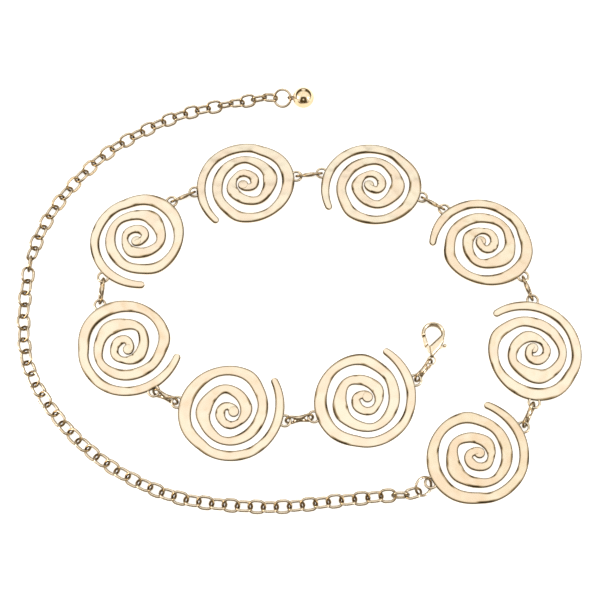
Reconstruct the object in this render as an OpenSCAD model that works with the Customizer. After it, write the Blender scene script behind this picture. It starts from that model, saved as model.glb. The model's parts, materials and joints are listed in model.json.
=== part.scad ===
// Waist chain of nine hammered spiral plates, laid loosely round on a flat surface.
// Figure-eight links join the plates. One end has a lobster claw, the other a long cable chain with a ball.
// Millimetres, Z up, the surface at Z = 0, the middle of the laid-out chain over the origin.

/* [Spiral plates] */
// Radius of a plate, to the middle of its outer turn and a little more
disc_r = 24.5; // [22:0.5:27]
// Thickness of a plate
disc_t = 1.5; // [1.2:0.1:2]
// Width of the plate's strip
strip_w = 5.5; // [4.5:0.1:6]
// Diameter of the coiled head in the middle
head_d = 5.4; // [4.8:0.1:6]
// Wire of the two eyes on a plate's rim
eye_wire = 1.3; // [1.1:0.1:1.5]
// Room in an eye beyond the link's wire
eye_room = 2.8; // [2.6:0.1:3.4]
// How far an eye's centre stands out from the strip
eye_out = 1.05; // [1:0.05:1.8]

/* [Figure-eight links] */
// Length of a figure-eight link
conn_l = 14.7; // [13.5:0.1:17]
// Wire of a figure-eight link
conn_wire = 1.3; // [1.1:0.1:1.5]
// Room in a link's loop beyond the eye's wire
conn_room = 2.1; // [1.5:0.1:2.4]
// Gap between the two strands at a link's waist
conn_waist = 0.1; // [0.1:0.1:0.8]
// Least lean of a link from flat, in degrees
conn_stand = 66; // [50:1:75]
// Clearance between a link and the wire that it holds
wire_gap = 0.3; // [0.2:0.05:0.4]

/* [Lobster clasp] */
// Length of the clasp over its hook and tail ring
clasp_l = 22.8; // [21:0.2:26]
// Outer diameter of the hook
hook_d = 11.8; // [11:0.2:14]
// Diameter of the hook's hole
hook_hole = 8; // [6.8:0.2:8.6]
// Thickness of the clasp
clasp_t = 4.4; // [3.8:0.1:5]
// Thickness of the lever's tongue in its slot
tongue_t = 1.5; // [1.2:0.1:1.8]
// Thickness of the lever's closing arm
gate_t = 3; // [2.4:0.1:3.4]
// Clearance round the lever
lever_gap = 0.15; // [0.1:0.05:0.25]
// Diameter of the lever's pivot pin
pin_d = 0.9; // [0.7:0.1:1.1]
// Wire of the tail ring
tail_wire = 1.0; // [0.8:0.1:1.3]
// Room in the tail ring beyond the link's wire
tail_room = 1.8; // [1.5:0.1:2.2]

/* [Cable chain] */
// Length of a chain link
link_l = 9.15; // [8.4:0.05:10]
// Width of a chain link
link_w = 7.2; // [6.8:0.1:7.6]
// Wire of a chain link
link_wire = 1.3; // [1:0.1:1.4]
// Least play between two chain links along the chain
link_play = 0.15; // [0.1:0.05:0.4]

/* [Jump rings and ball] */
// Outer diameter of the two jump rings
ring_d = 10.4; // [10:0.1:12]
// Wire of the jump rings
ring_wire = 1.3; // [1.1:0.1:1.5]
// Diameter of the end ball
ball_d = 11.4; // [10:0.2:14]
// Hole of the ball's eye
ball_eye = 2.2; // [2:0.1:2.8]
// Wire of the ball's eye
ball_eye_wire = 0.9; // [0.8:0.1:1.2]

/* [Hidden] */
$fn = 64;
GOLD = "#f3d9a8";
WIRE_GOLD = "#dcc08a";
CAST_GOLD = "#e9cf9a";

// The strip of a plate, from its free tail round to its coiled head.
// Columns: degrees clockwise from TAIL_AT, where the tail starts, middle of the strip as a share of disc_r,
// width as a share of strip_w.
STRIP = [
    [4.5, 1.10, 0.68], [20, 1.045, 0.78], [40, 0.985, 0.86], [70, 0.92, 0.86], [100, 0.885, 0.88],
    [130, 0.857, 0.92], [160, 0.857, 0.92], [175, 0.85, 1.02], [205, 0.912, 1.12], [235, 0.916, 1.20],
    [265, 0.90, 1.07], [295, 0.89, 0.87], [325, 0.865, 0.98], [340, 0.835, 1.08], [360, 0.747, 1.0],
    [385, 0.68, 0.95], [415, 0.598, 1.03], [460, 0.553, 0.97], [505, 0.563, 0.76], [535, 0.539, 0.93],
    [560, 0.537, 1.07], [580, 0.545, 1.34], [595, 0.53, 1.39], [620, 0.512, 1.11], [655, 0.52, 0.84],
    [685, 0.44, 0.94], [715, 0.371, 1.02], [745, 0.333, 1.1], [775, 0.282, 0.87], [810, 0.247, 0.64],
    [850, 0.237, 0.75], [895, 0.21, 0.80], [940, 0.20, 0.90], [985, 0.19, 0.77], [1030, 0.135, 0.75],
    [1075, 0.116, 0.72]
];
STRIP_PIECES = 120;
TAIL_AT = 10;
// Where the head's middle stands, as a share of disc_r, and the directions of the two eyes.
HEAD_OUT = 0.08;
EYE_A_AT = 137.2;
EYE_B_AT = 321.5;

// The plates in order from the cable chain to the clasp.
// Columns: turn of the plate, heading of the figure-eight link after it, how far that link is pulled
// out in its two eyes (0 slack, 1 tight), side of the line through its eyes that the plate leans down to.
LAYOUT = [
    [71.5, 64, 0.16, -1], [128, 107.3, 0.09, 1], [176.7, 148.5, 0, 1], [205.7, 187.6, 0.06, 1],
    [230.3, 205.5, -0.12, 1], [272.2, 266.7, 0.64, 1], [343.2, 333.9, -0.12, 1], [30.6, 8, 0.36, 1],
    [61, 51.8, -0.12, 1]
];
PLATES = len(LAYOUT);

// Route of the cable chain from the first plate's eye, in millimetres from that eye.
ROUTE = [
    [-12, -6.2], [-22, -6.4], [-47, -8.9], [-72, -11.6], [-97, -10.8], [-121, -7.3], [-143.5, 1.6],
    [-163.2, 14.3], [-181.6, 32.3], [-197.3, 56.6], [-202.2, 82], [-201.7, 106], [-197.9, 128.1],
    [-186.9, 150.9], [-168.1, 173.9], [-147.2, 189.2], [-124.6, 200.1], [-101.5, 205.5], [-78.5, 210.2],
    [-71.5, 210.7]
];
// How the chain's links lie. Columns: share of the route, roll from flat of the links that lean one way,
// roll of the links that lean the other way, slack beyond the least play as a share of link_wire.
LIE = [
    [0, -28, 32, 0], [0.06, -28, 32, 0.04], [0.12, -29, 32, 0.1], [0.25, -31, 31, 0.17],
    [0.3, -32, 32, 0.2], [0.48, -32, 32, 0.2], [0.54, -32, 32, 0.08], [0.62, -31, 36, 0.1],
    [0.68, -30, 42, 0.12], [0.92, -28, 42, 0.1], [0.94, -26, 42, 0.2], [1, -24, 42, 0.2]
];
// Links that stand on edge, each between a link that leans one way and a link that leans the other.
ON_EDGE = [1, 44, 67, 70];
// Their roll, their slack and how far a neighbour hangs below them, both as shares of link_wire.
EDGE_ROLL = 98;
EDGE_SLACK = 0.4;
EDGE_DROP = 0.6;
// Heights of the chain's two end joints as shares of link_wire.
FIRST_JOINT_Z = 3;
LAST_JOINT_Z = 1.45;
ROUTE_STEPS = 12;

// Smooth value of column c of table t at x, by cubic pieces between the rows.
function row_of(t, x, i = 0) = i >= len(t) - 2 || x < t[i + 1][0] ? i : row_of(t, x, i + 1);
function slope(t, i, c) =
    let (a = max(i - 1, 0), b = min(i + 1, len(t) - 1)) (t[b][c] - t[a][c]) / (t[b][0] - t[a][0]);
function smooth(t, x, c) =
    let (i = row_of(t, x), h = t[i + 1][0] - t[i][0], s = (x - t[i][0]) / h, a = t[i][c], b = t[i + 1][c])
    let (m = slope(t, i, c) * h, n = slope(t, i + 1, c) * h)
    a + s * m + s * s * (3 * (b - a) - 2 * m - n) + s * s * s * (2 * (a - b) + m + n);
function toward(angle) = [cos(angle), sin(angle)];
function turned(p, angle) = [p.x * cos(angle) - p.y * sin(angle), p.x * sin(angle) + p.y * cos(angle)];
function heading(v) = atan2(v.y, v.x);
function arc(middle, r, from, to, steps) =
    [for (k = [0:steps]) middle + r * toward(from + (to - from) * k / steps)];

// Figure-eight links: a loop at each end, drawn in to the waist by a larger arc on either side.
conn_loop = (eye_wire + conn_room + conn_wire) / 2;
conn_half = (conn_l - conn_wire) / 2 - conn_loop;
waist_half = (conn_wire + conn_waist) / 2;
waist_r = (conn_half ^ 2 + waist_half ^ 2 - conn_loop ^ 2) / (2 * (conn_loop - waist_half));
waist_turn = atan2(waist_half + waist_r, conn_half);
LOOP_STEPS = 9;
WAIST_STEPS = 6;
WIRE_SIDES = 6;
conn_lean = max(conn_stand, asin(((max(eye_wire, disc_t) + conn_wire) / 2 + wire_gap) / conn_loop));
// Height of the eyes' middle, which the leaning links set.
eye_z = conn_loop * sin(conn_lean) + conn_wire / 2;
eye_hole = conn_wire + eye_room;
eye_c = (eye_hole + eye_wire) / 2;

// The plate's outline and where its eyes sit.
function strip_mid(u) = disc_r * smooth(STRIP, u, 1) * toward(TAIL_AT - u);
function strip_half(u) = strip_w * smooth(STRIP, u, 2) / 2;
function strip_out(u) = let (d = strip_mid(u + 1) - strip_mid(u - 1)) [-d.y, d.x] / norm(d);
function strip_edge(u, side) = strip_mid(u) + side * strip_half(u) * strip_out(u);
STRIP_END = STRIP[len(STRIP) - 1][0];
STRIP_START = STRIP[0][0];
strip_us = [for (k = [0:STRIP_PIECES]) STRIP_START + (STRIP_END - STRIP_START) * k / STRIP_PIECES];
outer_edge = [for (u = strip_us) strip_edge(u, 1)];
inner_edge = [for (k = [STRIP_PIECES:-1:0]) strip_edge(strip_us[k], -1)];
tail_way = heading(strip_out(STRIP_START));
tail_cap = [for (k = [1:7])
    strip_mid(STRIP_START) + strip_half(STRIP_START) * toward(tail_way + 180 - k * 180 / 8)];
function eye_at(angle) =
    let (u = (TAIL_AT - angle + 720) % 360)
    (disc_r * smooth(STRIP, u, 1) + strip_half(u) + eye_out) * toward(angle);
eye_a = eye_at(EYE_A_AT);
eye_b = eye_at(EYE_B_AT);
// A plate leans about the line through its eyes until its rim is down on the surface.
lean_side = [(eye_b - eye_a).y, -(eye_b - eye_a).x] / norm(eye_b - eye_a);
function lean_reach(side) = max([for (p = outer_edge) side * (p - eye_a) * lean_side]);
function plate_lean(side) = side * asin((eye_z - disc_t / 2) / lean_reach(side));

// The walk from plate to plate. The first plate's eye a is the start.
function eye_pitch(i) = conn_l - conn_wire + LAYOUT[i][2] * (eye_hole - conn_wire);
function plate_at(i) = i == 0 ? -turned(eye_a, LAYOUT[0][0])
    : plate_at(i - 1) + turned(eye_b, LAYOUT[i - 1][0]) + eye_pitch(i - 1) * toward(LAYOUT[i - 1][1])
    - turned(eye_a, LAYOUT[i][0]);
PLATE_AT = [for (i = [0:PLATES - 1]) plate_at(i)];

// Clasp: in its own frame the tail ring's middle is the origin and the hook points along +X.
tail_hole = conn_wire + tail_room;
tail_c = (tail_hole + tail_wire) / 2;
clasp_reach = clasp_l - hook_d / 2 - tail_c - tail_wire / 2;
hook_at = [clasp_reach, 0];
CLASP_WAY = 84.5;
// How far the last figure-eight link is pulled out in the tail ring (0 slack, 1 tight).
TAIL_PULL = 0.06;
tail_pull = TAIL_PULL * (tail_hole - conn_wire) / 2;
last_eye = PLATE_AT[PLATES - 1] + turned(eye_b, LAYOUT[PLATES - 1][0]);
last_pull = LAYOUT[PLATES - 1][2] * (eye_hole - conn_wire) / 2;
tail_at = last_eye + (last_pull + conn_l - conn_wire + tail_pull) * toward(LAYOUT[PLATES - 1][1]);
// Outlines of the claw. Columns: along, as a share of clasp_reach, and across, as a share of hook_d / 2.
CLAW_RIGHT = [[0.136, -0.127], [0.205, -0.186], [0.498, -0.695], [0.716, -0.95]];
CLAW_LEFT = [[0.504, 0.271], [0.239, 0.136], [0.136, 0.127]];
CLAW_SLOT = [
    [0.215, 1.3], [0.215, -1.5], [0.66, -1.5], [0.66, -0.95], [0.47, -0.26], [0.63, 0.02], [0.63, 1.3]
];
GATE_SIDE = [[0.511, 0.70], [0.262, 0.36], [0.25, -0.05], [0.42, -0.12], [0.545, 0.33]];
PIVOT = [0.34, -0.034];
NUB = [0.587, -1.06];
// Reach of the gate as a share of the way from the pivot to the hook's middle, and where its thick arm
// starts, as a share of the way from the pivot to the slot's corner.
GATE_REACH = 0.933;
ARM_FROM = 1.4;
NUB_D = 1.8;
function claw(p) = [p.x * clasp_reach, p.y * hook_d / 2];
pivot_at = claw(PIVOT);
nub_at = claw(NUB);
gate_r = GATE_REACH * norm(hook_at - pivot_at);
// Where the circle of the gate's end meets a circle of radius r round the hook's middle.
function gate_meets(r) =
    let (v = hook_at - pivot_at, d = norm(v), a = (d ^ 2 + gate_r ^ 2 - r ^ 2) / (2 * d))
    let (h = sqrt(gate_r ^ 2 - a ^ 2))
    pivot_at + a * v / d + h * [-v.y, v.x] / d;
gate_out = heading(gate_meets(hook_d / 2) - pivot_at);
gate_in = heading(gate_meets(hook_hole / 2) - pivot_at);
hook_out = heading(gate_meets(hook_d / 2) - hook_at);
hook_in = heading(gate_meets(hook_hole / 2) - hook_at);
arm_r = ARM_FROM * norm(claw(CLAW_LEFT[0]) - pivot_at);
slot_t = tongue_t + 2 * lever_gap;
boss_d = pin_d + 1.8;

// Jump rings. The first one leans on the plate's eye: where its middle stands seen from the eye, its lean
// from flat and the direction of its low side. The chain hooks in on its CHAIN_WAY side.
ring_c = (ring_d - ring_wire) / 2;
START_WAY = 208;
START_REACH = 0.91;
START_LEAN = 42;
START_DOWN = 321.1;
start_at = START_REACH * ring_c * toward(START_WAY);
start_z = ring_c * sin(START_LEAN) + ring_wire / 2;
CHAIN_WAY = 229.8;
CHAIN_REACH = 0.709;

// Cable chain: joints at even steps along the smoothed route, a link between each two joints.
link_c = (link_w - link_wire) / 2;
link_half = (link_l - link_w) / 2;
pitch = link_l - 2 * link_wire - link_play;
chain_start = start_at + CHAIN_REACH * ring_c * toward(CHAIN_WAY);
route_rows = [for (i = [0:len(ROUTE)]) i == 0 ? [0, chain_start.x, chain_start.y]
    : [i, ROUTE[i - 1].x, ROUTE[i - 1].y]];
path = [for (k = [0:len(ROUTE) * ROUTE_STEPS]) let (x = k / ROUTE_STEPS)
    [smooth(route_rows, x, 1), smooth(route_rows, x, 2)]];
path_steps = [for (k = [1:len(path) - 1]) norm(path[k] - path[k - 1])];
path_rows = [
    for (k = 0, s = 0; k < len(path); s = s + (k < len(path_steps) ? path_steps[k] : 0), k = k + 1)
    [s, path[k].x, path[k].y]
];
route_l = path_rows[len(path_rows) - 1][0];
// An even number of links, so that the last one stands across the ball's ring.
function on_edge(i) = len(search(i, ON_EDGE)) > 0;
function slack(i, s) = link_wire * (on_edge(i) ? EDGE_SLACK : smooth(LIE, s / route_l, 3));
stations = [for (i = 0, s = 0; s < route_l; s = s + pitch - slack(i, s), i = i + 1) s];
LINKS = 2 * floor((len(stations) - 1) / 2);
joints = [for (i = [0:LINKS]) [smooth(path_rows, stations[i], 1), smooth(path_rows, stations[i], 2)]];
function edges_before(i) = len([for (e = ON_EDGE) if (e < i) e]);
function roll_of(i) = on_edge(i) ? EDGE_ROLL
    : smooth(LIE, i / LINKS, 1 + (i + 1 + edges_before(i)) % 2);
function rest_z(i) = link_c * abs(sin(roll_of(i))) + link_wire / 2;
// A link lies on the surface, or is held up by a neighbour that stands on edge. Two links meet at the
// height of the higher one, and each link slopes from joint to joint.
function edge_z(i) = on_edge(i) ? rest_z(i) - EDGE_DROP * link_wire : 0;
function held_z(i) = max(rest_z(i), edge_z(i - 1), edge_z(i + 1));
function joint_z(i) = i == 0 ? FIRST_JOINT_Z * link_wire : i == LINKS ? LAST_JOINT_Z * link_wire
    : max(held_z(i - 1), held_z(i));
function link_z(i) = (joint_z(i) + joint_z(i + 1)) / 2;
function link_tilt(i) = atan2(joint_z(i + 1) - joint_z(i), norm(joints[i + 1] - joints[i]));

// Ball and its ring, in line past the last joint. The ring leans sideways and rises towards the ball.
BALL_WAY = -5;
BALL_RING_LEAN = 30;
BALL_RING_RISE = 14;
// How far the ring's wire stands inside the last link, as a share of link_wire, and how far the ball is
// pulled out in its ring (0 slack, 1 tight).
LAST_HOLD = 1.2;
BALL_PULL = 0.5;
last_at = (joints[LINKS - 1] + joints[LINKS]) / 2;
ball_ring_reach = (link_l - link_wire) / 2 + ring_c * cos(BALL_RING_RISE) - LAST_HOLD * link_wire;
ball_ring_at = last_at + ball_ring_reach * toward(BALL_WAY);
ball_ring_drop = ring_c * sqrt(1 - (cos(BALL_RING_LEAN) * cos(BALL_RING_RISE)) ^ 2);
ball_ring_z = ball_ring_drop + ring_wire / 2;
ball_eye_c = (ball_eye + ball_eye_wire) / 2;
ball_stem = (ball_d + ball_eye + BALL_PULL * (ball_eye - ring_wire)) / 2;
ball_dip = asin((ball_d / 2 - ball_ring_z - ring_c * sin(BALL_RING_RISE)) / ball_stem);
ball_at = ball_ring_at + (ring_c * cos(BALL_RING_RISE) + ball_stem * cos(ball_dip)) * toward(BALL_WAY);

// The box round everything, whose middle goes over the origin.
plate_points = [for (i = [0:PLATES - 1]) for (p = outer_edge) PLATE_AT[i] + turned(p, LAYOUT[i][0])];
link_points = [for (j = joints) for (k = [0:3]) j + link_w / 2 * toward(90 * k)];
ball_points = [for (k = [0:3]) ball_at + ball_d / 2 * toward(90 * k)];
all_points = concat(plate_points, link_points, ball_points);
xs = [for (p = all_points) p.x];
ys = [for (p = all_points) p.y];
middle = [(min(xs) + max(xs)) / 2, (min(ys) + max(ys)) / 2];

// A wire ring of middle radius r lying in the XY plane.
module wire_ring(r, wire) rotate_extrude() translate([r, 0]) circle(d = wire);
// Part of such a ring: it starts at one angle and goes over a number of degrees.
module wire_arc(r, wire, from, over) rotate([0, 0, from]) rotate_extrude(angle = over)
    translate([r, 0]) circle(d = wire);
// Puts a piece over a point of the layout at a height.
module laid(at, z) translate([at.x - middle.x, at.y - middle.y, z]) children();

// Spiral plate in its own frame, middle of its thickness at Z = 0, with its two eyes.
module plate_form() {
    linear_extrude(disc_t, center = true) {
        polygon(concat(outer_edge, inner_edge, tail_cap));
        translate([HEAD_OUT * disc_r, 0]) circle(d = head_d);
    }
    for (e = [eye_a, eye_b]) translate(e) wire_ring(eye_c, eye_wire);
}
module spiral(i) color(GOLD) laid(PLATE_AT[i], eye_z) rotate([0, 0, LAYOUT[i][0]])
    translate(eye_a) rotate(a = plate_lean(LAYOUT[i][3]), v = concat(eye_b - eye_a, 0)) translate(-eye_a)
    plate_form();

// Figure-eight link along X in the XY plane: one wire swept round a closed flat path.
function half_eight(s) = concat(
    arc(s * [conn_half, 0], s * conn_loop, waist_turn - 180, 180 - waist_turn, LOOP_STEPS),
    [for (k = [1:WAIST_STEPS - 1]) let (turn = waist_turn + (180 - 2 * waist_turn) * k / WAIST_STEPS)
        s * [0, waist_half + waist_r] + s * waist_r * toward(-turn)]
);
eight_path = concat(half_eight(1), half_eight(-1));
module wire_loop(loop, wire, sides) {
    n = len(loop);
    points = [
        for (k = [0:n - 1])
        let (d = loop[(k + 1) % n] - loop[(k + n - 1) % n], out = [d.y, -d.x] / norm(d))
        for (j = [0:sides - 1])
        let (w = wire / 2 * toward(360 * j / sides)) concat(loop[k] + w.x * out, w.y)
    ];
    faces = [
        for (k = [0:n - 1]) let (a = k * sides, b = ((k + 1) % n) * sides)
        for (j = [0:sides - 1]) let (m = (j + 1) % sides) [a + j, a + m, b + m, b + j]
    ];
    polyhedron(points, faces);
}
function conn_pull(i) = LAYOUT[i][2] * (eye_hole - conn_wire) / 2;
function conn_at(i) = PLATE_AT[i] + turned(eye_b, LAYOUT[i][0])
    + ((conn_l - conn_wire) / 2 + conn_pull(i)) * toward(LAYOUT[i][1]);
module connector(i) color(WIRE_GOLD) laid(conn_at(i), eye_z) rotate([0, 0, LAYOUT[i][1]])
    rotate([conn_lean, 0, 0]) wire_loop(eight_path, conn_wire, WIRE_SIDES);

// The claw lies flat. Its own frame has the middle of its thickness at Z = 0.
module clasp_place() laid(tail_at, clasp_t / 2) rotate([0, 0, CLASP_WAY]) children();
module clasp_body() color(CAST_GOLD) clasp_place() {
    difference() {
        linear_extrude(clasp_t, center = true) polygon(concat(
            [for (p = CLAW_RIGHT) claw(p)],
            arc(hook_at, hook_d / 2, -105, hook_out, 36),
            [for (k = [1:3]) pivot_at + gate_r * toward(gate_out + (gate_in - gate_out) * k / 4)],
            arc(hook_at, hook_hole / 2, hook_in, -100, 36),
            [for (p = CLAW_LEFT) claw(p)]
        ));
        linear_extrude(slot_t, center = true) polygon([for (p = CLAW_SLOT) claw(p)]);
    }
    translate(pivot_at) cylinder(d = pin_d, h = (clasp_t + slot_t) / 2, center = true);
    wire_ring(tail_c, tail_wire);
}
module gate_outline() polygon(concat(
    arc(pivot_at, gate_r - lever_gap, gate_in, gate_out, 4),
    [for (p = GATE_SIDE) claw(p)]
));
module clasp_lever() color(WIRE_GOLD) clasp_place() difference() {
    union() {
        linear_extrude(tongue_t, center = true) {
            gate_outline();
            translate(pivot_at) circle(d = boss_d);
            translate(pivot_at) rotate(heading(nub_at - pivot_at)) translate([0, -tongue_t / 2])
                square([norm(nub_at - pivot_at), tongue_t]);
        }
        linear_extrude(gate_t, center = true) difference() {
            gate_outline();
            translate(pivot_at) circle(r = arm_r);
        }
        translate(nub_at) cylinder(d = NUB_D, h = gate_t, center = true);
    }
    translate(pivot_at) cylinder(d = pin_d + 2 * lever_gap, h = clasp_t, center = true);
}

module start_ring() color(WIRE_GOLD) laid(start_at, start_z) rotate([0, 0, START_DOWN])
    rotate([0, START_LEAN, 0]) wire_ring(ring_c, ring_wire);

// Oval cable link along X in the XY plane.
module cable_link() {
    for (s = [0, 180]) rotate([0, 0, s]) {
        translate([link_half, 0]) wire_arc(link_c, link_wire, -90, 180);
        translate([-link_half, link_c]) rotate([0, 90, 0]) cylinder(d = link_wire, h = 2 * link_half);
    }
}
module extension_chain() color(WIRE_GOLD) for (i = [0:LINKS - 1]) let (run = joints[i + 1] - joints[i])
    laid((joints[i] + joints[i + 1]) / 2, link_z(i)) rotate([0, 0, heading(run)])
    rotate([0, -link_tilt(i), 0]) rotate([roll_of(i), 0, 0]) cable_link();

module ball_ring() color(WIRE_GOLD) laid(ball_ring_at, ball_ring_z) rotate([0, 0, BALL_WAY])
    rotate([0, -BALL_RING_RISE, 0]) rotate([BALL_RING_LEAN, 0, 0]) wire_ring(ring_c, ring_wire);
module end_ball() color(CAST_GOLD) laid(ball_at, ball_d / 2) rotate([0, 0, BALL_WAY + 180])
    rotate([0, ball_dip, 0]) {
        rotate([0, 0, 90]) sphere(d = ball_d);
        translate([(ball_d + ball_eye) / 2, 0, 0]) rotate([90, 0, 0]) wire_ring(ball_eye_c, ball_eye_wire);
    }

for (i = [0:PLATES - 1]) spiral(i);
for (i = [0:PLATES - 1]) connector(i);
clasp_body();
clasp_lever();
start_ring();
extension_chain();
ball_ring();
end_ball();
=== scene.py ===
import json
import math
import bmesh
import bpy
import numpy as np
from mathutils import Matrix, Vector


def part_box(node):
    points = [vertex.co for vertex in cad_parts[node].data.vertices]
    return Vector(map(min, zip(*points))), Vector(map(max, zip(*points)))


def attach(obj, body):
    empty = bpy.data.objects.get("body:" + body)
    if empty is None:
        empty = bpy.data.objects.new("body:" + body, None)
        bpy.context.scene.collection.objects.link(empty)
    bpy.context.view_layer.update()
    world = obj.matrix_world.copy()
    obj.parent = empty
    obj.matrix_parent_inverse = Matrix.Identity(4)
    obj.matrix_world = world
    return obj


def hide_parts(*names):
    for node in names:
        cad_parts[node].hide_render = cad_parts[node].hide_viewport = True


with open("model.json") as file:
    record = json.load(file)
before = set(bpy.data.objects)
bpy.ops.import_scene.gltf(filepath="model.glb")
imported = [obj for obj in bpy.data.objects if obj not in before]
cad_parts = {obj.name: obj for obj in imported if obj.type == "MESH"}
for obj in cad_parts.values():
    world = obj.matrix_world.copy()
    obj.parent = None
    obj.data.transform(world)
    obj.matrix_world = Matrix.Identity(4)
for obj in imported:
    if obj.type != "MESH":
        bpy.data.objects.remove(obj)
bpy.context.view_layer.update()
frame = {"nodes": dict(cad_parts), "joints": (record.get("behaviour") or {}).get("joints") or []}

nodes = frame["nodes"]
mm = 0.001
print("waist chain: frame loaded,", len(nodes), "nodes")


def linear(hexText):
    # sRGB hex text to linear light, as the shader wants it
    part = np.array([int(hexText[k:k + 2], 16) for k in (1, 3, 5)]) / 255
    return tuple(np.where(part <= 0.04045, part / 12.92, ((part + 0.055) / 1.055) ** 2.4)) + (1.0,)


def addNode(tree, kind, settings=None, inputs=None):
    # adds one node: settings are its own properties, inputs are values or other nodes' outputs
    made = tree.nodes.new(kind)
    for name, value in (settings or {}).items():
        setattr(made, name, value)
    for name, value in (inputs or {}).items():
        if isinstance(value, bpy.types.NodeSocket):
            tree.links.new(value, made.inputs[name])
        else:
            made.inputs[name].default_value = value
    return made


def gridQuads(rows, columns, ringRows=False):
    # quads of a grid whose columns close round a tube; ringRows closes it lengthwise too
    row = np.arange(rows if ringRows else rows - 1)[:, None]
    column = np.arange(columns)[None, :]
    nextRow, nextColumn = (row + 1) % rows, (column + 1) % columns
    corners = [row * columns + column, row * columns + nextColumn,
               nextRow * columns + nextColumn, nextRow * columns + column]
    return np.stack([c.ravel() for c in corners], axis=1)


def outward(points, quads):
    # a closed surface whose enclosed volume comes out negative is turned round
    a, b, c, d = (points[quads[:, k]] for k in range(4))
    volume = np.einsum("ij,ij->i", a, np.cross(b, c) + np.cross(c, d)).sum()
    return quads if volume > 0 else quads[:, ::-1]


def addObject(name, data):
    made = bpy.data.objects.new(name, data)
    bpy.context.scene.collection.objects.link(made)
    return made


def keepShadeAndWear(mesh, shadeAndWear):
    # one value for each point, the painted shade and the wear, which the metals read
    mesh.attributes.new("shadeAndWear", "FLOAT", "POINT").data.foreach_set("value", shadeAndWear.astype("f"))


def shadeSmooth(mesh):
    mesh.polygons.foreach_set("use_smooth", np.ones(len(mesh.polygons), bool))


def makePiece(name, parts, finish, body, replaced, shadeAndWear):
    # parts are (points in mm, quads); they become one object at the origin
    start, allPoints, allQuads = 0, [], []
    for points, quads in parts:
        points = points.reshape(-1, 3)
        allPoints.append(points)
        allQuads.append(outward(points, quads) + start)
        start += len(points)
    mesh = bpy.data.meshes.new(name)
    mesh.from_pydata((np.concatenate(allPoints) * mm).tolist(), [], np.concatenate(allQuads).tolist())
    keepShadeAndWear(mesh, np.concatenate(shadeAndWear))
    shape = bmesh.new()
    shape.from_mesh(mesh)
    bmesh.ops.remove_doubles(shape, verts=shape.verts, dist=1e-7)   # closes poles and round ends
    bmesh.ops.dissolve_degenerate(shape, edges=shape.edges, dist=1e-8)
    shape.to_mesh(mesh)
    shape.free()
    shadeSmooth(mesh)
    return dress(addObject(name, mesh), finish, body, replaced)


def dress(piece, finish, body, replaced):
    piece.data.materials.clear()
    piece.data.materials.append(finish)
    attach(piece, body)
    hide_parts(*replaced)
    return piece


def cadMesh(name):
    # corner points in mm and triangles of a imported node
    data = nodes[name].data
    data.calc_loop_triangles()
    points = np.empty(len(data.vertices) * 3)
    data.vertices.foreach_get("co", points)
    triangles = np.empty(len(data.loop_triangles) * 3, int)
    data.loop_triangles.foreach_get("vertices", triangles)
    return points.reshape(-1, 3) / mm, triangles.reshape(-1, 3)


def mainAxes(points, triangles):
    # middle of a surface and its three directions, longest spread first, weighted by area
    a, b, c = (points[triangles[:, k]] for k in range(3))
    area = np.linalg.norm(np.cross(b - a, c - a), axis=1)
    spot = (a + b + c) / 3
    middle = (spot * area[:, None]).sum(0) / area.sum()
    spread = np.cov((spot - middle).T, aweights=area)
    axes = np.linalg.eigh(spread)[1].T[::-1]
    axes[2] = np.cross(axes[0], axes[1])
    return middle, axes


def wireAlong(path, radius, sides, closed=True):
    # a round wire carried along a flat path in the XY plane: out points away from the path, up is Z.
    # The radius is one number or one for each point of the path.
    if closed:
        run = np.roll(path, -1, 0) - np.roll(path, 1, 0)
    else:
        run = np.gradient(path, axis=0)
    out = np.stack([run[:, 1], -run[:, 0], 0 * run[:, 0]], 1) / np.linalg.norm(run, axis=1)[:, None]
    turn = np.linspace(0, 2 * np.pi, sides, endpoint=False)
    centre = np.column_stack([path, 0 * path[:, 0]])
    across = np.cos(turn)[None, :, None] * out[:, None, :] + np.sin(turn)[None, :, None] * [0, 0, 1]
    return centre[:, None, :] + np.broadcast_to(radius, len(path))[:, None, None] * across


def arcPoints(middle, radius, start, end, count):
    turn = np.radians(np.linspace(start, end, count))
    return np.array(middle) + radius * np.stack([np.cos(turn), np.sin(turn)], 1)


# upward share of a wire's side above which it has no painted shade, and over how much below that the painted
# shade comes in
flankShade = {"unshaded": 0.93, "fade": 0.32}


def paintFlankShade(wire, axes, most):
    # painted shade on a wire's flanks: none where it faces up, most from a half way down and below
    way = (wire - wire.mean(1, keepdims=True)).reshape(-1, 3) @ axes
    up = way[:, 2] / np.linalg.norm(way, axis=1).clip(1e-9)
    return most * np.clip((flankShade["unshaded"] - up) / flankShade["fade"], 0, 1)


def torus(middle, radius, wire, around=44, sides=14):
    # ring of round wire in the XY plane
    return wireAlong(arcPoints((0, 0), radius, 0, 360, around + 1)[:-1], wire / 2, sides) + middle


view = {
    "target": (1.085, -5.27, 2.35),   # mm, the point that the photo is centred on
    "offset": (0, -238.3, 636.0),     # mm from the target: 20.5 degrees off straight down
    "lens": 80.44,
    "softness": 1.7,                  # pixels that the picture's own blur covers
}
cameraData = bpy.data.cameras.new("camera")
cameraData.lens = view["lens"]
cameraData.sensor_width = 36
cameraData.clip_start = 0.01
camera = addObject("camera", cameraData)
camera.location = [(t + o) * mm for t, o in zip(view["target"], view["offset"])]
camera.rotation_euler = (math.atan2(-view["offset"][1], view["offset"][2]), 0, 0)
bpy.context.scene.camera = camera
bpy.context.scene.view_settings.view_transform = "Standard"
bpy.context.scene.cycles.filter_width = view["softness"]

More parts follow.
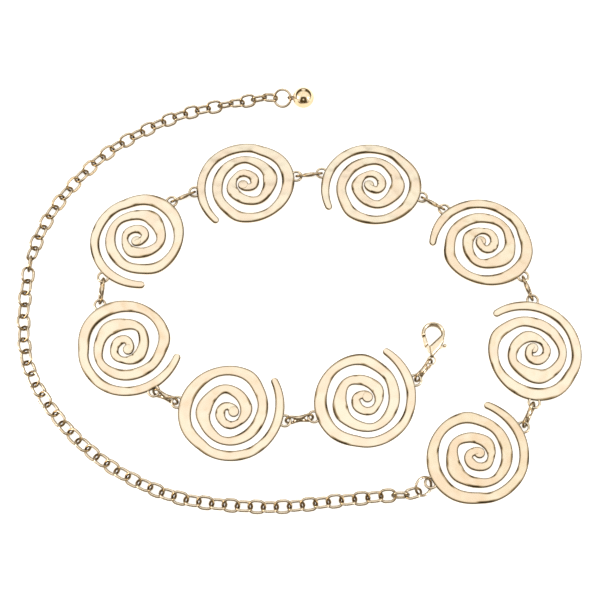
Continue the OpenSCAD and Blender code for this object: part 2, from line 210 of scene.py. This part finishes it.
studio = {
    "dome": "#FFFCF6",          # the bright tent overhead
    "card": "#EFDDBF",          # warm cards and seams in the tent, which the dents pick up
    "cardSize": 4.5,            # how many of them over the unit sphere
    "cardEdges": (0.5, 0.68),
    "cardDetail": 0.5,
    "horizon": "#54482F",       # the dim room behind the tent, which darkens the far edges
    "domeStrength": 1.22,
    "horizonStrength": 1.2,
    "tentAxis": (0, -0.6, 0.8),     # the tent opens towards the camera
    "tentEdges": (0.05, 0.29),      # heights along that axis where it starts and where it is fully bright
    "window": (0, 0.88, 0.47),      # a bright gap in the dim room, straight behind the chain
    "windowEdges": (0.95, 0.98),
    # the camera and its stand, a dark shape on the near side from high up down to the horizon
    "standWidth": (0.23, 0.36),      # half its width, and where its soft edge ends
    "standSpread": 0.4,             # how much it widens downwards
    "standTop": (0.3, 0.42),
    "glint": (0, -0.79, 0.62),      # a small lamp on the stand
    "glintEdges": (0.992, 0.997),
    "floorShade": "#F6F4F0",
    "floorGlow": 0.85,          # a light table: the floor is lit from below as well
    "floorSize": 2.4,
}


def makeStudio():
    world = bpy.data.worlds.new("studio tent")
    bpy.context.scene.world = world
    world.use_nodes = True
    tree = world.node_tree
    tree.nodes.clear()
    way = addNode(tree, "ShaderNodeTexCoord").outputs["Generated"]

    def towards(direction, edges, low, high):
        # a value over the directions: low away from this one, high near it, with a soft edge
        facing = addNode(tree, "ShaderNodeVectorMath", {"operation": "DOT_PRODUCT"}, {0: way, 1: direction})
        return addNode(tree, "ShaderNodeMapRange", {"interpolation_type": "SMOOTHSTEP"}, {
            "Value": facing.outputs["Value"], "From Min": edges[0], "From Max": edges[1],
            "To Min": low, "To Max": high}).outputs["Result"]

    def span(value, edges):
        return addNode(tree, "ShaderNodeMapRange", {"interpolation_type": "SMOOTHSTEP"}, {
            "Value": value, "From Min": edges[0], "From Max": edges[1]}).outputs["Result"]

    def combine(operation, first, second):
        return addNode(tree, "ShaderNodeMath", {"operation": operation}, {0: first, 1: second}).outputs[0]

    tent = combine("MAXIMUM", towards(studio["tentAxis"], studio["tentEdges"], 0.0, 1.0),
                   towards(studio["window"], studio["windowEdges"], 0.0, 1.0))
    part = addNode(tree, "ShaderNodeSeparateXYZ", inputs={"Vector": way})
    near = combine("MULTIPLY", part.outputs["Y"], -1.0)
    sideways = combine("SUBTRACT", combine("ABSOLUTE", part.outputs["X"], 0.0),
                       combine("MULTIPLY", near, studio["standSpread"]))
    stand = combine("MULTIPLY", span(near, studio["standTop"]),
                    combine("SUBTRACT", 1.0, span(sideways, studio["standWidth"])))
    clear = combine("SUBTRACT", 1.0, stand)
    lit = combine("MAXIMUM", combine("MULTIPLY", tent, clear),
                  towards(studio["glint"], studio["glintEdges"], 0.0, 1.0))
    seams = addNode(tree, "ShaderNodeTexNoise", inputs={
        "Vector": way, "Scale": studio["cardSize"], "Detail": studio["cardDetail"]})
    card = addNode(tree, "ShaderNodeMapRange", {"interpolation_type": "SMOOTHSTEP"}, {
        "Value": seams.outputs["Fac"],
        "From Min": studio["cardEdges"][0], "From Max": studio["cardEdges"][1]})
    cloth = addNode(tree, "ShaderNodeMix", {"data_type": "RGBA"}, {
        0: card.outputs["Result"], 6: linear(studio["dome"]), 7: linear(studio["card"])})
    colour = addNode(tree, "ShaderNodeMix", {"data_type": "RGBA"}, {
        0: lit, 6: linear(studio["horizon"]), 7: cloth.outputs[2]})
    strength = addNode(tree, "ShaderNodeMapRange", inputs={
        "Value": lit, "To Min": studio["horizonStrength"], "To Max": studio["domeStrength"]})
    back = addNode(tree, "ShaderNodeBackground", inputs={
        "Color": colour.outputs[2], "Strength": strength.outputs["Result"]})
    addNode(tree, "ShaderNodeOutputWorld", inputs={"Surface": back.outputs[0]})


makeStudio()

# Low panels on either side, out of the plates' mirror directions: they light the wires' flanks.
lampSettings = {
    # name: place in m, size in m, power in W, colour
    "leftPanel": ((-0.85, -0.1, 0.45), 0.25, 3.0, "#FFF6E6"),
    "rightPanel": ((0.8, -0.3, 0.5), 0.2, 2.0, "#FFFFFF"),
}
for lampName, (place, size, power, shade) in lampSettings.items():
    lampData = bpy.data.lights.new(lampName, "AREA")
    lampData.size = size
    lampData.energy = power
    lampData.color = linear(shade)[:3]
    lamp = addObject(lampName, lampData)
    lamp.location = place
    lamp.rotation_euler = Vector([-value for value in place]).to_track_quat("-Z", "Y").to_euler()

floorFinish = bpy.data.materials.new("white light table")
floorFinish.use_nodes = True
floorShader = floorFinish.node_tree.nodes["Principled BSDF"]
floorShader.inputs["Base Color"].default_value = linear(studio["floorShade"])
floorShader.inputs["Roughness"].default_value = 0.9
floorShader.inputs["Specular IOR Level"].default_value = 0.1
floorShader.inputs["Emission Color"].default_value = linear(studio["floorShade"])
floorShader.inputs["Emission Strength"].default_value = studio["floorGlow"]
floorMesh = bpy.data.meshes.new("floor")
half = studio["floorSize"] / 2
corners = [(-half, -half, 0), (half, -half, 0), (half, half, 0), (-half, half, 0)]
floorMesh.from_pydata(corners, [], [(0, 1, 2, 3)])
floorMesh.materials.append(floorFinish)
addObject("floor", floorMesh)
print("studio ready")


plating = {
    "patchEdges": (0.38, 0.62),     # noise values between which one tone turns into the other
    "shadedRough": 0.18,              # how much rougher the metal is where the painted shade lies
    "grainDepth": 0.02,             # mm
}


def goldFinish(name, look):
    # plated metal: full metallic, two close tones in broad soft patches. Where the attribute of painted shade
    # and wear is 0.5 the colour is painted brown, and where it is 1 it is painted dark shade.
    finish = bpy.data.materials.new(name)
    finish.use_nodes = True
    tree = finish.node_tree
    shader = tree.nodes["Principled BSDF"]
    place = addNode(tree, "ShaderNodeTexCoord").outputs["Object"]
    patches = addNode(tree, "ShaderNodeTexNoise", inputs={
        "Vector": place, "Scale": 1 / (look["patch"] * mm), "Detail": 1.5, "Roughness": 0.5})
    tone = addNode(tree, "ShaderNodeMapRange", {"interpolation_type": "SMOOTHSTEP"},
                   {"Value": patches.outputs["Fac"],
                    "From Min": plating["patchEdges"][0], "From Max": plating["patchEdges"][1]})
    metal = addNode(tree, "ShaderNodeMix", {"data_type": "RGBA"}, {
        0: tone.outputs["Result"], 6: linear(look["light"]), 7: linear(look["warm"])})
    # painted shade and wear, one value for each point
    shadeAndWear = addNode(tree, "ShaderNodeAttribute", {"attribute_name": "shadeAndWear"}).outputs["Fac"]
    browned = addNode(tree, "ShaderNodeMapRange", inputs={"Value": shadeAndWear, "From Max": 0.5})
    darkened = addNode(tree, "ShaderNodeMapRange", inputs={"Value": shadeAndWear, "From Min": 0.5})
    rubbedAndShaded = addNode(tree, "ShaderNodeMix", {"data_type": "RGBA"}, {
        0: browned.outputs["Result"], 6: metal.outputs[2], 7: linear(look["rubbedAndShaded"])})
    deepShaded = addNode(tree, "ShaderNodeMix", {"data_type": "RGBA"}, {
        0: darkened.outputs["Result"], 6: rubbedAndShaded.outputs[2], 7: linear(look["deepShade"])})
    tree.links.new(deepShaded.outputs[2], shader.inputs["Base Color"])
    shader.inputs["Metallic"].default_value = 1.0
    rough = addNode(tree, "ShaderNodeMapRange", inputs={
        "Value": shadeAndWear, "To Min": look["rough"], "To Max": look["rough"] + plating["shadedRough"]})
    tree.links.new(rough.outputs["Result"], shader.inputs["Roughness"])
    if "grain" in look:
        grain = addNode(tree, "ShaderNodeTexNoise", inputs={
            "Vector": place, "Scale": 1 / (look["grain"] * mm), "Detail": 2.0})
        bump = addNode(tree, "ShaderNodeBump", inputs={
            "Strength": look["grainStrength"], "Distance": plating["grainDepth"] * mm,
            "Height": grain.outputs["Fac"]})
        tree.links.new(bump.outputs["Normal"], shader.inputs["Normal"])
    return finish


# zinc alloy, hammered and plated pale champagne gold: smooth faces, painted dark shade along the cut edges
plateGold = goldFinish("hammered champagne gold plate", {
    "light": "#F0E7D3", "warm": "#EFDFCA", "rubbedAndShaded": "#AA9470", "deepShade": "#3A301E", "patch": 9.0,
    "rough": 0.2, "grain": 1.4, "grainStrength": 0.025})
# steel wire, drawn and plated: unshaded on top, with painted olive shade on its flanks, and brown where links
# rub, with painted shade where they cross
wireGold = goldFinish("drawn gold plated wire", {
    "light": "#F3E9D8", "warm": "#EDE1CC", "rubbedAndShaded": "#AA8E64", "deepShade": "#4C4434",
    "patch": 3.0, "rough": 0.14})
# zinc casting, tumbled and plated: soft corners, even shine
castGold = goldFinish("cast gold plated zinc", {
    "light": "#F4EAD8", "warm": "#EEE2CC", "rubbedAndShaded": "#B09A74", "deepShade": "#4A3E2B",
    "patch": 6.0, "rough": 0.26})
# hollow brass ball, buffed to a mirror
ballGold = goldFinish("mirror polished gold ball", {
    "light": "#F2E3C8", "warm": "#EEDCBC", "rubbedAndShaded": "#A8854F", "deepShade": "#4A3717",
    "patch": 8.0, "rough": 0.05})


plate = {
    "radius": 24.5, "thick": 1.5, "strip": 5.5, "head": 5.4,
    "headOut": 0.08, "headAround": 48, "tailAt": 10.0,
    "eyeWire": 1.3, "eyeHole": 4.1, "eyeOut": 1.05, "eyeAngles": (137.2, 321.5),
    "leans": (-5.12, 4.8, 4.8, 4.8, 4.8, 4.8, 4.8, 4.8, 4.8),   # degrees about the line through the eyes
    "topRound": 0.5, "footRound": 0.25,   # radius of the upper and lower edges, mm
    "rows": 430, "endRows": 8,            # sections along the strip and round each of its ends
    "blows": 70, "blowReach": 27,         # hammer blows on a plate, and how far out they fall, mm
    "hammer": 55.0, "hammerSpread": (0.7, 1.6),      # radius of a blow's bowl, mm, and shares of it
    "blowRise": 0.05, "deepest": 0.13,    # how much the blows' depths differ, and the deepest, mm
    "strokeEvery": 14.0,                  # degrees of strip between the ends of the edge's dark strokes
    "strokeRange": (-1.5, 1.3),           # painted shade drawn at each such end: below 0 there is none
    "strokeFrom": 0.7, "strokeFade": 0.2,    # how far in from the edge a stroke reaches, as side shares
    # most painted shade on the eyes' flanks
    "eyeFlankShade": 0.9,
    "turns": (71.5, 128, 176.7, 205.7, 230.3, 272.2, 343.2, 30.6, 61),
}
# The strip from its free tail to its coiled head: degrees clockwise from the tail, middle of the strip as a
# share of the radius, width as a share of the strip's width.
stripRows = np.array([
    [4.5, 1.10, 0.68], [20, 1.045, 0.78], [40, 0.985, 0.86], [70, 0.92, 0.86], [100, 0.885, 0.88],
    [130, 0.857, 0.92], [160, 0.857, 0.92], [175, 0.85, 1.02], [205, 0.912, 1.12], [235, 0.916, 1.20],
    [265, 0.90, 1.07], [295, 0.89, 0.87], [325, 0.865, 0.98], [340, 0.835, 1.08], [360, 0.747, 1.0],
    [385, 0.68, 0.95], [415, 0.598, 1.03], [460, 0.553, 0.97], [505, 0.563, 0.76], [535, 0.539, 0.93],
    [560, 0.537, 1.07], [580, 0.545, 1.34], [595, 0.53, 1.39], [620, 0.512, 1.11], [655, 0.52, 0.84],
    [685, 0.44, 0.94], [715, 0.371, 1.02], [745, 0.333, 1.1], [775, 0.282, 0.87], [810, 0.247, 0.64],
    [850, 0.237, 0.75], [895, 0.21, 0.80], [940, 0.20, 0.90], [985, 0.19, 0.77], [1030, 0.135, 0.75],
    [1075, 0.116, 0.72],
])


def smoothColumn(table, x, column):
    # cubic pieces through the rows, with slopes taken from the rows on either side
    at, value = table[:, 0], table[:, column]
    before, after = np.maximum(np.arange(len(at)) - 1, 0), np.minimum(np.arange(len(at)) + 1, len(at) - 1)
    slope = (value[after] - value[before]) / (at[after] - at[before])
    i = np.clip(np.searchsorted(at, x, "right") - 1, 0, len(at) - 2)
    h = at[i + 1] - at[i]
    s = (x - at[i]) / h
    a, b, m, n = value[i], value[i + 1], slope[i] * h, slope[i + 1] * h
    return a + s * m + s * s * (3 * (b - a) - 2 * m - n) + s ** 3 * (2 * (a - b) + m + n)


def stripMiddle(u):
    way = np.radians(plate["tailAt"] - u)
    reach = plate["radius"] * smoothColumn(stripRows, u, 1)
    return reach[:, None] * np.stack([np.cos(way), np.sin(way)], 1)


def stripHalf(u):
    return plate["strip"] * smoothColumn(stripRows, u, 2) / 2


edge = {
    "shares": (-1, -0.85, -0.68, -0.45, -0.15, 0.15, 0.45, 0.68, 0.85, 1),    # columns across the face
    "faceEdgeShade": 0.45,                                # painted shade at the face's border
    "upperCornerShade": {75: 0.9, 50: 1, 25: 1, 0: 0.95},     # painted shade by degrees round the upper corner, 0 on the wall
    # painted shade on the lower corner and on the underside
    "footShade": 0.5, "underShade": 0.4,
}


def edgeProfile():
    # one turn round the strip's section: side share, height share, the direction of the corner's rounding,
    # and the painted shade, from 0 on the face to 1 on the rim
    rows = [(share, 1, 0, 1, edge["faceEdgeShade"] * (abs(share) == 1)) for share in edge["shares"]]
    bends = [(math.cos(math.radians(degrees)), math.sin(math.radians(degrees)), shadeAndWear)
             for degrees, shadeAndWear in edge["upperCornerShade"].items()]
    for side in (1, -1):
        upper = [(side, 1, side * c, s, shadeAndWear) for c, s, shadeAndWear in bends]
        lower = [(side, -1, side * c, -s, edge["footShade"]) for c, s, shadeAndWear in bends][::-1]
        if side == 1:
            rows += upper + lower + [(share, -1, 0, -1, edge["underShade"]) for share in (1, 0, -1)]
        else:
            rows += lower[::-1] + upper[::-1]
    return np.array(rows, float)


def hammerField(spots, seed):
    # overlapping shallow bowls: the height of the lowest bowl over each spot, in mm above the deepest blow
    draw = np.random.default_rng(seed)
    count = plate["blows"]
    angle = draw.uniform(0, 2 * np.pi, count)
    reach = plate["blowReach"] * np.sqrt(draw.uniform(0, 1, count))
    centre = np.stack([reach * np.cos(angle), reach * np.sin(angle)], 1)
    hammer = plate["hammer"] * draw.uniform(*plate["hammerSpread"], count)
    depth = draw.uniform(0, plate["blowRise"], count)
    gap = ((spots[:, None, :] - centre[None]) ** 2).sum(2)
    return np.minimum((gap / (2 * hammer) + depth).min(1), plate["deepest"])


def stripSurface(seed):
    # the section carried along the spiral, and at each end its width runs out on a half circle
    profile = edgeProfile()
    first, last = stripRows[0, 0], stripRows[-1, 0]
    u = np.linspace(first, last, plate["rows"])
    middle, halfWidth = stripMiddle(u), stripHalf(u)
    run = stripMiddle(u + 1) - stripMiddle(u - 1)
    along = run / np.linalg.norm(run, axis=1)[:, None]
    ends = plate["endRows"]
    bend = np.radians(np.linspace(90, 10, ends))
    tailMiddle = middle[0] - along[0] * halfWidth[0] * np.sin(bend)[:, None]
    headMiddle = middle[-1] + along[-1] * halfWidth[-1] * np.sin(bend[::-1])[:, None]
    middle = np.concatenate([tailMiddle, middle, headMiddle])
    along = np.concatenate([np.repeat(along[:1], ends, 0), along, np.repeat(along[-1:], ends, 0)])
    halfWidth = np.concatenate([halfWidth[0] * np.cos(bend), halfWidth, halfWidth[-1] * np.cos(bend[::-1])])
    out = np.stack([-along[:, 1], along[:, 0]], 1)
    share, level, bendOut, bendUp, rimShade = profile.T
    rounding = np.where(level > 0, plate["topRound"], plate["footRound"])[None, :]
    rounding = np.minimum(rounding, np.maximum(halfWidth[:, None], 1e-4))
    across = share * (halfWidth[:, None] - rounding) + bendOut * rounding
    rise = level * (plate["thick"] / 2 - rounding) + bendUp * rounding
    flat = middle[:, None, :] + across[:, :, None] * out[:, None, :]
    dent = hammerField(flat.reshape(-1, 2), seed).reshape(rise.shape) - plate["deepest"]
    rise = rise + dent * np.clip(level * bendUp, 0, 1)
    points = np.concatenate([flat, rise[:, :, None]], 2)
    # painted shade strokes that run in from the rim at random places, each side by its own chance
    draw = np.random.default_rng(seed + 50)
    knots = np.arange(first, last + plate["strokeEvery"], plate["strokeEvery"])
    rowAt = np.concatenate([np.full(ends, first), u, np.full(ends, last)])
    stroke = np.stack([np.interp(rowAt, knots, draw.uniform(*plate["strokeRange"], len(knots)))
                       for side in (-1, 1)])
    onTop = level * bendUp > 0.9
    reach = np.clip((np.abs(share) - plate["strokeFrom"]) / plate["strokeFade"], 0, 1) * onTop
    faceEdgeShade = reach * np.where(share < 0, stroke[0][:, None], stroke[1][:, None])
    return points, gridQuads(*rise.shape), np.clip(np.maximum(rimShade, faceEdgeShade), 0, 1)


def headSurface():
    # the coiled head: a coin turned about its middle, crowned a little over the strip
    r, t, b = plate["head"] / 2, plate["thick"] / 2, plate["topRound"]
    bends = (0.4, 0.8, 1.2, 1.57)
    radii = np.array([0, 0.3, 0.6, r - b] + [r - b + b * math.sin(a) for a in bends] + [r, r - 0.1, 0.6, 0])
    rise = np.array([t - 0.01, t - 0.02, t - 0.03, t - 0.04]
                    + [t - b - 0.03 + b * math.cos(a) for a in bends]
                    + [-t + 0.2, -t + 0.02, -t + 0.02, -t + 0.02])
    turn = np.linspace(0, 2 * np.pi, plate["headAround"], endpoint=False)
    points = np.stack([radii[:, None] * np.cos(turn) + plate["headOut"] * plate["radius"],
                       radii[:, None] * np.sin(turn), rise[:, None] + 0 * turn], 2)
    # painted shade round the head's upper corner
    rimShade = np.broadcast_to(np.interp(radii, [r - b, r - 0.6 * b], [0, 1])[:, None], points.shape[:2])
    return points, gridQuads(*points.shape[:2]), rimShade


def eyePlace(angle):
    u = np.array([(plate["tailAt"] - angle + 720) % 360])
    reach = plate["radius"] * smoothColumn(stripRows, u, 1)[0] + stripHalf(u)[0] + plate["eyeOut"]
    return reach * np.array([math.cos(math.radians(angle)), math.sin(math.radians(angle)), 0])


def turnAbout(axis, degrees):
    # rotation matrix about a unit axis, written for points as rows
    x, y, z = axis
    c, s = math.cos(math.radians(degrees)), math.sin(math.radians(degrees))
    cross = np.array([[0, -z, y], [z, 0, -x], [-y, x, 0]])
    return (np.eye(3) + s * cross + (1 - c) * cross @ cross).T


def makePlate(number, turn):
    eyeA, eyeB = (eyePlace(angle) for angle in plate["eyeAngles"])
    strip, stripQuads, stripRimShade = stripSurface(100 + number)
    head, headQuads, headRimShade = headSurface()
    eyeRadius = (plate["eyeHole"] + plate["eyeWire"]) / 2
    eyes = [torus(eye, eyeRadius, plate["eyeWire"]) for eye in (eyeA, eyeB)]
    parts = [(strip, stripQuads), (head, headQuads)]
    parts += [(eye, gridQuads(*eye.shape[:2], True)) for eye in eyes]
    line = (eyeB - eyeA) / np.linalg.norm(eyeB - eyeA)
    lean, spin = turnAbout(line, plate["leans"][number - 1]), turnAbout((0, 0, 1), turn)
    placed = [(((points.reshape(-1, 3) - eyeA) @ lean + eyeA) @ spin, quads) for points, quads in parts]
    every = np.concatenate([points for points, quads in placed])
    low, high = (np.array(corner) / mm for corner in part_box(f"spiral_{number}"))
    shift = (low + high) / 2 - (every.min(0) + every.max(0)) / 2
    shift[2] = low[2] - every[:, 2].min()
    placed = [(points + shift, quads) for points, quads in placed]
    # painted shade along the plate's rims and on the eyes' flanks
    shadeAndWear = [stripRimShade.ravel(), headRimShade.ravel()]
    shadeAndWear += [paintFlankShade(eye, np.eye(3), plate["eyeFlankShade"]) for eye in eyes]
    makePiece(f"plate_{number}", placed, plateGold, "belt", [f"spiral_{number}"], shadeAndWear)


for number, turn in enumerate(plate["turns"], 1):
    makePlate(number, turn)
print("nine plates hammered")


eight = {"length": 14.7, "wire": 1.3, "loop": (1.3 + 2.1 + 1.3) / 2, "waist": 0.1, "sides": 14,
         "neck": 1.15, "neckFrom": (1.4, 3.6),    # the strands thicken to this radius at the waist, mm
         # brown in the loops, painted shade where other wires cross them and rub; the most painted shade on
         # the flanks
         "rubAndCrossShadeFrom": (3.2, 5.2), "rubAndCrossShade": (0.1, 0.55), "flankShade": 0.9}


def eightPath():
    # two round loops drawn in to the waist by a larger arc on either side, as the wire is bent
    half = (eight["length"] - eight["wire"]) / 2 - eight["loop"]
    waistHalf = (eight["wire"] + eight["waist"]) / 2
    bendRadius = (half ** 2 + waistHalf ** 2 - eight["loop"] ** 2) / (2 * (eight["loop"] - waistHalf))
    turn = math.degrees(math.atan2(waistHalf + bendRadius, half))
    loop = arcPoints((half, 0), eight["loop"], turn - 180, 180 - turn, 30)
    side = arcPoints((0, waistHalf + bendRadius), bendRadius, -turn, turn - 180, 12)[1:-1]
    return np.concatenate([loop, side, -loop, -side])


def makeEight(number):
    node = f"connector_{number}"
    middle, axes = mainAxes(*cadMesh(node))
    path = eightPath()
    radius = np.interp(np.abs(path[:, 0]), eight["neckFrom"], (eight["neck"], eight["wire"] / 2))
    wire = wireAlong(path, radius, eight["sides"])
    rubAndCrossShade = np.interp(np.abs(path[:, 0]), eight["rubAndCrossShadeFrom"], eight["rubAndCrossShade"])     # brown in the two loops: painted shade where the eyes cross them, and rub
    shadeAndWear = np.maximum(np.repeat(rubAndCrossShade, eight["sides"]), paintFlankShade(wire, axes, eight["flankShade"]))
    surface = (wire.reshape(-1, 3) @ axes + middle, gridQuads(*wire.shape[:2], True))
    makePiece(f"figure_eight_{number}", [surface], wireGold, "belt", [node], [shadeAndWear])


for number in range(1, len(plate["turns"]) + 1):
    makeEight(number)
print("figure-eight links bent")


link = {"length": 9.15, "width": 7.2, "wire": 1.3, "bendSteps": 15, "sideSteps": 5, "sides": 12,
        "full": 0.74, "fullFrom": (2.3, 3.4),      # the wire's radius on the long sides, mm
        # brown at the ends, painted shade where the next links cross and rub; the most painted shade on the
        # flanks
        "rubAndCrossShadeFrom": (2.2, 3.5), "rubAndCrossShade": (0.0, 0.5), "flankShade": 0.9}


def splitSolids(points, triangles):
    # a number for each triangle's solid: every corner takes the lowest number of the corners that it meets
    same = np.unique(np.round(points, 4), axis=0, return_inverse=True)[1].ravel()
    corners = same[triangles]
    label = np.arange(same.max() + 1)
    while True:
        lowest = label[corners].min(1)
        new = label.copy()
        np.minimum.at(new, corners.ravel(), np.repeat(lowest, 3))
        new = new[new]
        if (new == label).all():
            return label[corners[:, 0]]
        label = new


def linkPath():
    # two half circles joined by short straight sides
    reach, bend = (link["length"] - link["width"]) / 2, (link["width"] - link["wire"]) / 2
    end = arcPoints((reach, 0), bend, -90, 90, link["bendSteps"])
    between = np.linspace(reach, -reach, link["sideSteps"])[1:-1]
    side = np.stack([between, np.full(len(between), bend)], 1)
    return np.concatenate([end, side, -end, -side])


def makeChain():
    points, triangles = cadMesh("extension_chain")
    solids = splitSolids(points, triangles)
    path = linkPath()
    radius = np.interp(np.abs(path[:, 0]), link["fullFrom"], (link["full"], link["wire"] / 2))
    wire = wireAlong(path, radius, link["sides"])
    quads = gridQuads(*wire.shape[:2], True)
    rubAndCrossShade = np.interp(np.abs(path[:, 0]), link["rubAndCrossShadeFrom"], link["rubAndCrossShade"])      # brown where the next link crosses: painted shade there, and rub
    parts, shadeAndWear = [], []
    for solid in np.unique(solids):
        middle, axes = mainAxes(points, triangles[solids == solid])
        parts.append((wire.reshape(-1, 3) @ axes + middle, quads))
        shadeAndWear.append(np.maximum(np.repeat(rubAndCrossShade, link["sides"]), paintFlankShade(wire, axes, link["flankShade"])))
    makePiece("cable_chain", parts, wireGold, "belt", ["extension_chain"], shadeAndWear)
    print("cable chain of", len(parts), "links")


makeChain()


# the last value is the most painted shade on the wire's flanks
ring = {"outer": 10.4, "wire": 1.3, "cut": 1.6, "around": 60, "sides": 14, "flankShade": 0.9}


def makeRing(name, node, seamToward):
    # round wire bent into a ring, with the fine cut that closes it turned to one side
    middle, axes = mainAxes(*cadMesh(node))
    normal = axes[2]
    side = np.array(seamToward) - np.dot(seamToward, normal) * normal
    side /= np.linalg.norm(side)
    axes = np.array([side, np.cross(normal, side), normal])
    radius = (ring["outer"] - ring["wire"]) / 2
    path = arcPoints((0, 0), radius, ring["cut"] / 2, 360 - ring["cut"] / 2, ring["around"])
    path = np.concatenate([path[:1], path, path[-1:]])
    wire = wireAlong(path, ring["wire"] / 2, ring["sides"], closed=False)
    for end, centre in ((0, path[0]), (-1, path[-1])):
        wire[end] = [*centre, 0]                      # closes the cut wire's flat ends
    makePiece(name, [(wire.reshape(-1, 3) @ axes + middle, gridQuads(*wire.shape[:2]))],
              wireGold, "belt", [node], [paintFlankShade(wire, axes, ring["flankShade"])])


makeRing("jump_ring_start", "start_ring", (0.3, -1, 0))
makeRing("jump_ring_ball", "ball_ring", (0.2, 1, 0))


ball = {"across": 11.4, "eyeHole": 2.2, "eyeWire": 0.9, "around": 72, "rows": 37,
        # the collar's section: mm out from the line through the eye, and mm above the ball
        "collar": ((0, -0.2), (1.5, -0.25), (1.35, 0.05), (1.0, 0.25), (0, 0.3)),
        # the collar's brown, and the most painted shade on the eye's flanks
        "collarWear": 0.4, "eyeFlankShade": 0.9,
        "lowerShade": 0.25, "lowerShadeFrom": 0.8, "lowerShadeFade": 0.5}    # painted shade round its lower half


def makeBall():
    # a sphere turned so that its poles lie on the line through the eye, a low collar and the cast eye
    low, high = (np.array(corner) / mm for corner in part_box("end_ball"))
    radius = ball["across"] / 2
    centre = np.array([high[0] - radius, (low[1] + high[1]) / 2, radius])
    points, triangles = cadMesh("end_ball")
    away = points - centre
    away = away[np.linalg.norm(away, axis=1) > radius + 0.3].mean(0)
    way = away / np.linalg.norm(away)
    side = np.cross((0, 0, 1), way)
    side /= np.linalg.norm(side)
    axes = np.array([side, np.cross(way, side), way])
    fall = np.linspace(0, np.pi, ball["rows"])[:, None]
    turn = np.linspace(0, 2 * np.pi, ball["around"], endpoint=False)[None, :]
    sphere = radius * np.stack([np.sin(fall) * np.cos(turn), np.sin(fall) * np.sin(turn),
                                np.cos(fall) + 0 * turn], 2)
    section = np.array(ball["collar"]) + [0, radius]
    collar = np.stack([section[:, :1] * np.cos(turn), section[:, :1] * np.sin(turn),
                       section[:, 1:] + 0 * turn], 2)
    loop = torus((0, 0, 0), (ball["eyeHole"] + ball["eyeWire"]) / 2, ball["eyeWire"], 36, 12)
    loop = loop[..., [2, 0, 1]] + [0, 0, radius + ball["eyeHole"] / 2]
    parts = [(p.reshape(-1, 3) @ axes + centre, gridQuads(*p.shape[:2], closed))
             for p, closed in ((sphere, False), (collar, False), (loop, True))]
    up = (sphere.reshape(-1, 3) @ axes)[:, 2] / radius
    # painted shade darker towards the bottom, the collar's brown, painted shade on the eye's flanks
    shadeAndWear = [ball["lowerShade"] * np.clip((ball["lowerShadeFrom"] - up) / ball["lowerShadeFade"], 0, 1),
            np.full(collar.size // 3, ball["collarWear"]), paintFlankShade(loop, axes, ball["eyeFlankShade"])]
    makePiece("end_ball_mirror", parts, ballGold, "belt", ["end_ball"], shadeAndWear)


makeBall()
print("rings and ball in place")


clasp = {"voxel": 0.13, "way": 84.5, "pivot": (4.879, -0.2006), "smooth": 5,
         "steep": 0.4,        # upward share of the normal below which a face is a wall
         "outlineShadeWidth": 0.35, "outlineShadeFrom": 1.4,    # width of the painted shade line along an outline, mm, and where it fades
         "blendOver": 0.8, "chunks": 400}
castLook = {
    # round: how far in from the outline the thickness falls away, mm. left: share of it left at the outline.
    # walls: heights from the middle, mm, between which a steep wall is the outline and not the lever's slot.
    # from: mm along the clasp where the rounding starts. The last value: most painted shade along the
    # outline.
    "body": {"round": 1.5, "left": 0.4, "walls": (1.1, 1.9), "from": 1.9, "outlineShade": 0.8},
    "lever": {"round": 0.9, "left": 0.45, "walls": (0.85, 1.4), "from": -50, "outlineShade": 0.4},
}


def claspFrame():
    # the tail ring's middle and the clasp's own directions, found from the lever's pivot
    pivot = np.array(frame["joints"][0]["pos_m"]) / mm
    spin = turnAbout((0, 0, 1), clasp["way"])
    return pivot - np.array([*clasp["pivot"], 0]) @ spin, spin


def castCopy(name, node, body, look):
    # a fine even skin over a copy of the CAD solid, then its thickness falls away towards the outline as on
    # a casting: half thickness times the height of a quarter circle over the distance from the outline
    work = nodes[node].data.copy()
    shape = bmesh.new()
    shape.from_mesh(work)
    bmesh.ops.remove_doubles(shape, verts=shape.verts, dist=1e-6)
    shape.to_mesh(work)
    shape.free()
    source = addObject(name + "_source", work)
    skin = source.modifiers.new("skin", "REMESH")
    skin.mode = "VOXEL"
    skin.voxel_size = clasp["voxel"] * mm
    bpy.context.view_layer.update()
    mesh = bpy.data.meshes.new_from_object(source.evaluated_get(bpy.context.evaluated_depsgraph_get()))
    bpy.data.objects.remove(source)
    count = len(mesh.vertices)
    points = np.empty(count * 3)
    mesh.vertices.foreach_get("co", points)
    normals = np.empty(count * 3)
    mesh.vertices.foreach_get("normal", normals)
    tail, spin = claspFrame()
    local = (points.reshape(-1, 3) / mm - tail) @ spin.T
    level, (low, high) = np.abs(local[:, 2]), look["walls"]
    steep = np.abs(normals.reshape(-1, 3)[:, 2]) < clasp["steep"]
    outline = local[steep & (level > low) & (level < high)][:, :2]
    nearest = np.concatenate([np.sqrt(((part[:, None, :] - outline[None]) ** 2).sum(2).min(1))
                              for part in np.array_split(local[:, :2], max(1, count // clasp["chunks"]))])
    fall = 1 - np.clip(nearest / look["round"], 0, 1)
    height = look["left"] + (1 - look["left"]) * np.sqrt(1 - fall ** 2)
    blend = np.clip((local[:, 0] - look["from"]) / clasp["blendOver"], 0, 1)
    local[:, 2] *= 1 + (height - 1) * blend
    # painted shade along the outline
    shadeAndWear = look["outlineShade"] * np.clip(clasp["outlineShadeFrom"] - nearest / clasp["outlineShadeWidth"], 0, 1)
    keepShadeAndWear(mesh, shadeAndWear)
    mesh.vertices.foreach_set("co", ((local @ spin + tail) * mm).ravel())
    shadeSmooth(mesh)
    mesh.name = name
    piece = addObject(name, mesh)
    relax = piece.modifiers.new("tumbling", "SMOOTH")
    relax.iterations = clasp["smooth"]
    relax.factor = 0.5
    print(name, "has", len(mesh.polygons), "faces")
    return dress(piece, castGold, body, [node])


castCopy("clasp_casting", "clasp_body", "belt", castLook["body"])
castCopy("clasp_gate", "clasp_lever", "lever", castLook["lever"])
print("clasp cast")
